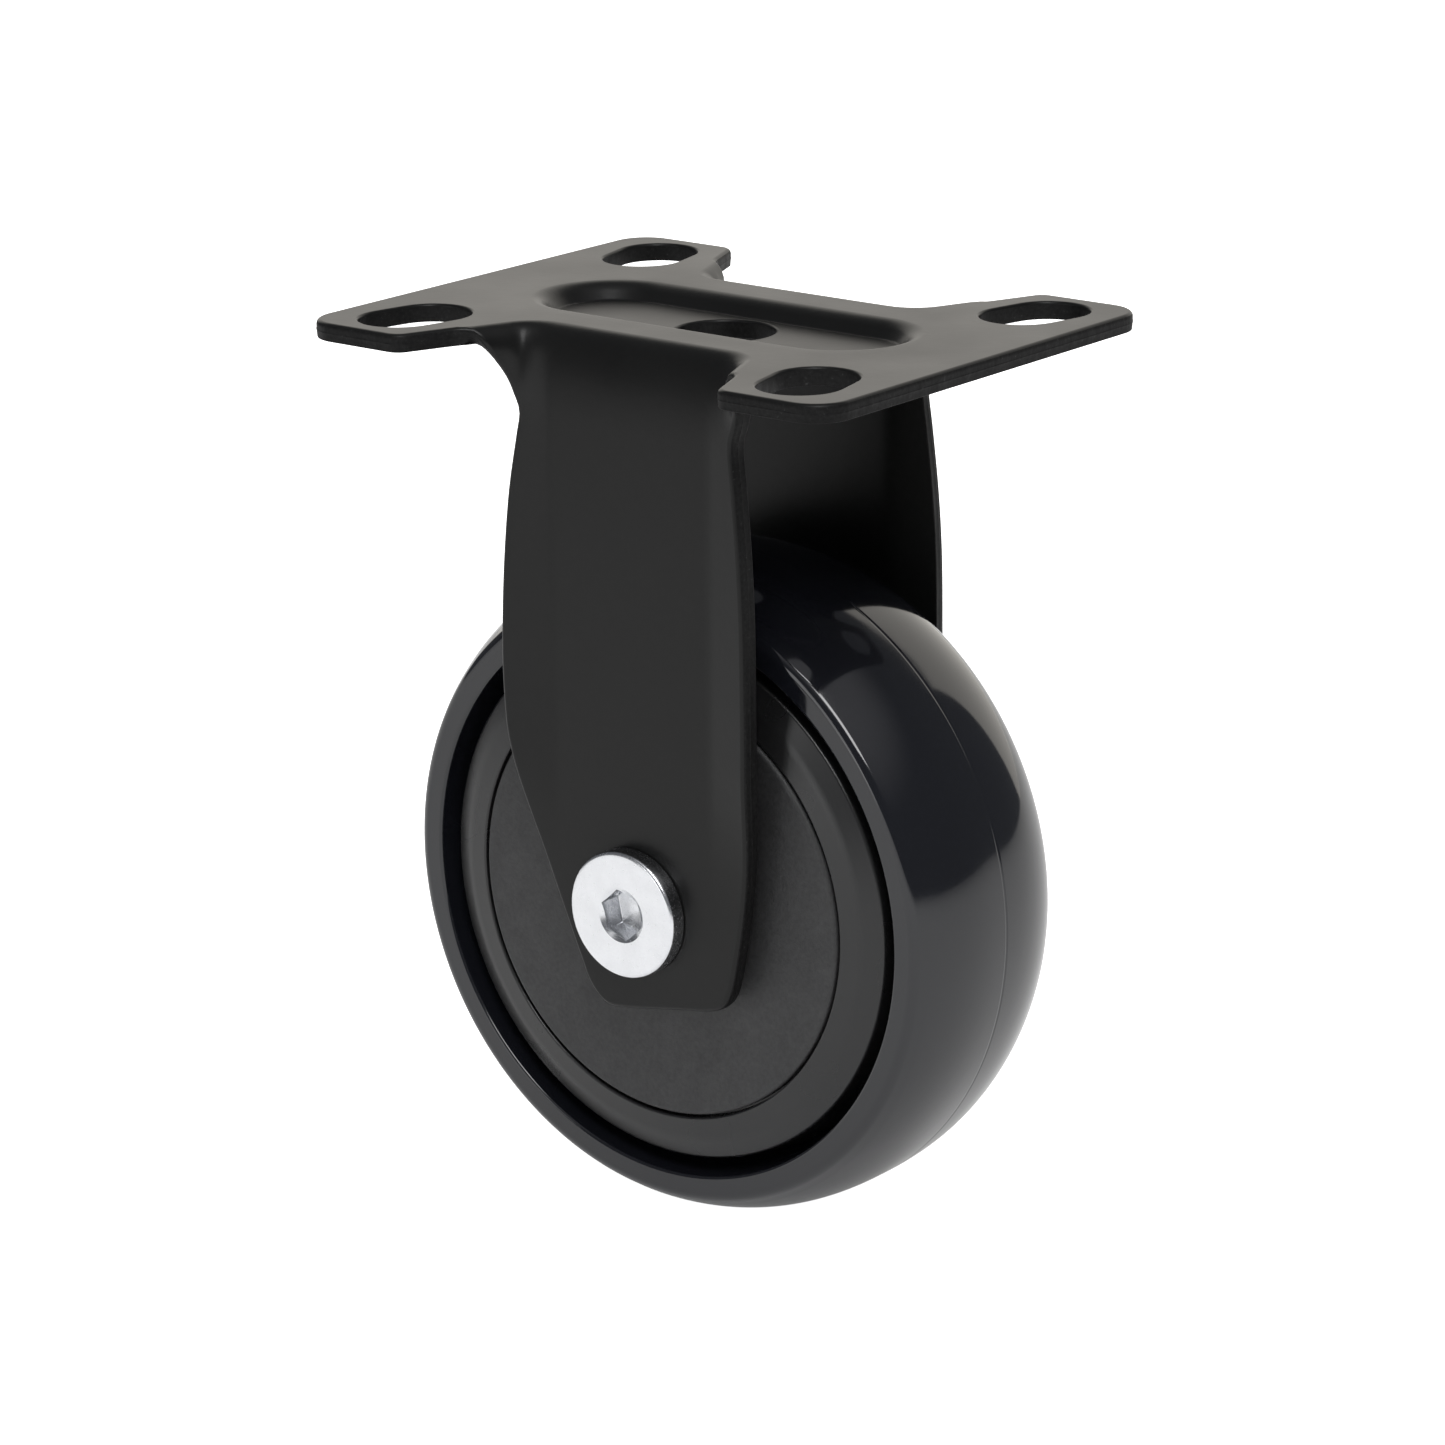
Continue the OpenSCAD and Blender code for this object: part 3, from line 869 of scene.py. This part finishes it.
# ------------------------------------------------------------------ build
M_PAINT, M_CUT, M_TYRE = paint_material(), cut_material(), tyre_material()
M_CORE, M_COVER, M_ZINC = core_material(), cover_material(), zinc_material()
M_STEEL = zinc_material("bearing_steel", (0.62, 0.63, 0.65), (0.18, 0.3))
M_BALL = zinc_material("ball_steel", (0.75, 0.76, 0.78), (0.05, 0.1))
M_BRASS = zinc_material("cage_brass", (0.78, 0.58, 0.28), (0.25, 0.4))


def put(obj, mats, body, slot, *replaced):
    for m in mats:
        obj.data.materials.append(m)
    if replaced:
        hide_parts(*replaced)
    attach(obj, body)
    return obj


v, n, f, fm = fork_mesh()
fork = make_object("fork_sheet", v, f, n, fm)
put(fork, [M_PAINT, M_CUT], "fork", "fork_paint", "fork_plate")

v, n, f = tyre_mesh()
put(make_object("tyre_crowned", v, f, n), [M_TYRE], "wheel", "tyre", "tyre")
v, n, f = core_mesh()
put(make_object("wheel_core", v, f, n), [M_CORE], "wheel", "core_plastic", "hub_core")
for s, side in ((-1, "right"), (1, "left")):
    v, n, f = cover_mesh(s)
    put(make_object("dust_cover_" + side, v, f, n), [M_COVER], "wheel", "cover_plastic", "cover_" + side)


def sharpen(obj, degrees):
    obj.data.set_sharp_from_angle(angle=math.radians(degrees))


v, f = head_mesh(-1, 5.0, 3.0, 3.98, -LEG_Y + 0.4, (2.6, 1.0), 12)
bolt = make_object("bolt_with_barrel", v, f)
sharpen(bolt, 28)
put(bolt, [M_ZINC], "fork", "zinc", "axle_bolt")
v, f = head_mesh(1, 4.0, 1.6, 2.55, LEG_Y - 15, None, 40)
screw = make_object("bolt_closing_screw", v, f)
sharpen(screw, 28)
put(screw, [M_ZINC], "fork", "zinc", "axle_screw")

for name, obj in nodes.items():
    if name.startswith(("outer_ring", "inner_ring", "shields")):
        m = M_STEEL
    elif name.startswith("balls"):
        m = M_BALL
    elif name.startswith("cage"):
        m = M_BRASS
    elif name.startswith(("bush", "bearing_spacer")):
        m = M_ZINC
    else:
        continue
    obj.data.materials.clear()
    obj.data.materials.append(m)

# ------------------------------------------------------------------ floor, light and camera
scene = bpy.context.scene
floor_mesh = bpy.data.meshes.new("floor")
R = 3.0
z0 = (AXLE_Z - 37.5) * MM
floor_mesh.from_pydata([(-R, -R, z0), (R, -R, z0), (R, R, z0), (-R, R, z0)], [], [(0, 1, 2, 3)])
floor = bpy.data.objects.new("floor", floor_mesh)
scene.collection.objects.link(floor)
fm_, nt_, b_, co_ = node_mat("floor_white")
nt_.links.new(ramp(nt_, noise(nt_, co_, 6, 2), [(0.2, (0.90, 0.90, 0.90)), (0.8, (0.92, 0.92, 0.92))]), b_.inputs["Base Color"])
b_.inputs["Roughness"].default_value = 0.6
b_.inputs["Specular IOR Level"].default_value = 0.1
b_.inputs["Emission Color"].default_value = (1, 1, 1, 1)
path_ = nt_.nodes.new("ShaderNodeLightPath")
nt_.links.new(remap(nt_, path_.outputs["Is Camera Ray"], 0, 1, 0.24, 1.0), b_.inputs["Emission Strength"])
floor_mesh.materials.append(fm_)

world = bpy.data.worlds.new("studio")
scene.world = world
world.use_nodes = True
wt = world.node_tree
wt.nodes.clear()
w_out = wt.nodes.new("ShaderNodeOutputWorld")
w_mix = wt.nodes.new("ShaderNodeMixShader")
w_cam = wt.nodes.new("ShaderNodeBackground")
w_env = wt.nodes.new("ShaderNodeBackground")
w_path = wt.nodes.new("ShaderNodeLightPath")
w_cam.inputs["Color"].default_value = (1, 1, 1, 1)
w_cam.inputs["Strength"].default_value = 1.0
w_env.inputs["Strength"].default_value = 1.0
w_geo = wt.nodes.new("ShaderNodeTexCoord")
w_dot = wt.nodes.new("ShaderNodeVectorMath")
w_dot.operation = "DOT_PRODUCT"
w_dot.inputs[1].default_value = (math.sin(math.radians(62)) * math.cos(math.radians(66)), -math.cos(math.radians(62)) * math.cos(math.radians(66)), math.sin(math.radians(66)))
wt.links.new(w_geo.outputs["Generated"], w_dot.inputs[0])
w_ramp = wt.nodes.new("ShaderNodeValToRGB")
w_ramp.color_ramp.interpolation = "EASE"
w_ramp.color_ramp.elements[0].position = 0.72
w_ramp.color_ramp.elements[0].color = (0.13, 0.135, 0.145, 1)
w_ramp.color_ramp.elements[1].position = 0.99
w_ramp.color_ramp.elements[1].color = (0.55, 0.55, 0.57, 1)
wt.links.new(w_dot.outputs["Value"], w_ramp.inputs["Fac"])
wt.links.new(w_ramp.outputs["Color"], w_env.inputs["Color"])
wt.links.new(w_path.outputs["Is Camera Ray"], w_mix.inputs[0])
wt.links.new(w_env.outputs[0], w_mix.inputs[1])
wt.links.new(w_cam.outputs[0], w_mix.inputs[2])
wt.links.new(w_mix.outputs[0], w_out.inputs[0])


def softbox(name, az, el, dist, size, radiance, colour=(1, 1, 1), glossy=True, target=(0, 0, -0.05)):
    """A soft panel at azimuth az (0 stands at -Y) and elevation el, as bright as radiance."""
    a, e = math.radians(az), math.radians(el)
    pos = Vector(target) + Vector((math.sin(a) * math.cos(e), -math.cos(a) * math.cos(e), math.sin(e))) * dist
    ld = bpy.data.lights.new(name, "AREA")
    ld.shape = "RECTANGLE"
    ld.size, ld.size_y = size
    ld.energy = radiance * PI * size[0] * size[1]
    ld.color = colour
    lo = bpy.data.objects.new(name, ld)
    lo.location = pos
    lo.rotation_euler = (Vector(target) - pos).to_track_quat("-Z", "Y").to_euler()
    scene.collection.objects.link(lo)
    lo.visible_camera = False
    lo.visible_glossy = glossy
    return lo


softbox("backdrop", 207, 21, 2.0, (3.6, 1.75), 1.06, (1.0, 0.955, 0.87))
softbox("key", 44, 51, 1.0, (0.26, 0.60), 8.5)
softbox("strip", -12, 8, 0.55, (0.12, 0.34), 2.0)
softbox("overhead", 60, 84, 1.1, (1.2, 1.2), 1.3, glossy=False)

cam_data = bpy.data.cameras.new("camera")
cam_data.sensor_width = 36.0
cam_data.sensor_fit = "HORIZONTAL"
cam_data.lens = 4898.73 / 1445 * 36.0
cam_data.clip_start = 0.01
cam_data.clip_end = 50
cam = bpy.data.objects.new("camera", cam_data)
az, el, roll = math.radians(38.414), math.radians(16.956), math.radians(-0.522)
back = Vector((math.sin(az) * math.cos(el), -math.cos(az) * math.cos(el), math.sin(el)))
right = Vector((math.cos(az), math.sin(az), 0))
up = back.cross(right)
target = right * (-0.833 * 0.75 * MM) + Vector((0, 0, -60.995 * 0.75 * MM))
rr = right * math.cos(roll) + up * math.sin(roll)
uu = up * math.cos(roll) - right * math.sin(roll)
loc = target + back * (717.34 * 0.75 * MM)
cam.matrix_world = Matrix(((rr.x, uu.x, back.x, loc.x), (rr.y, uu.y, back.y, loc.y), (rr.z, uu.z, back.z, loc.z), (0, 0, 0, 1)))
scene.collection.objects.link(cam)
scene.camera = cam
scene.view_settings.view_transform = "Standard"
scene.view_settings.look = "None"
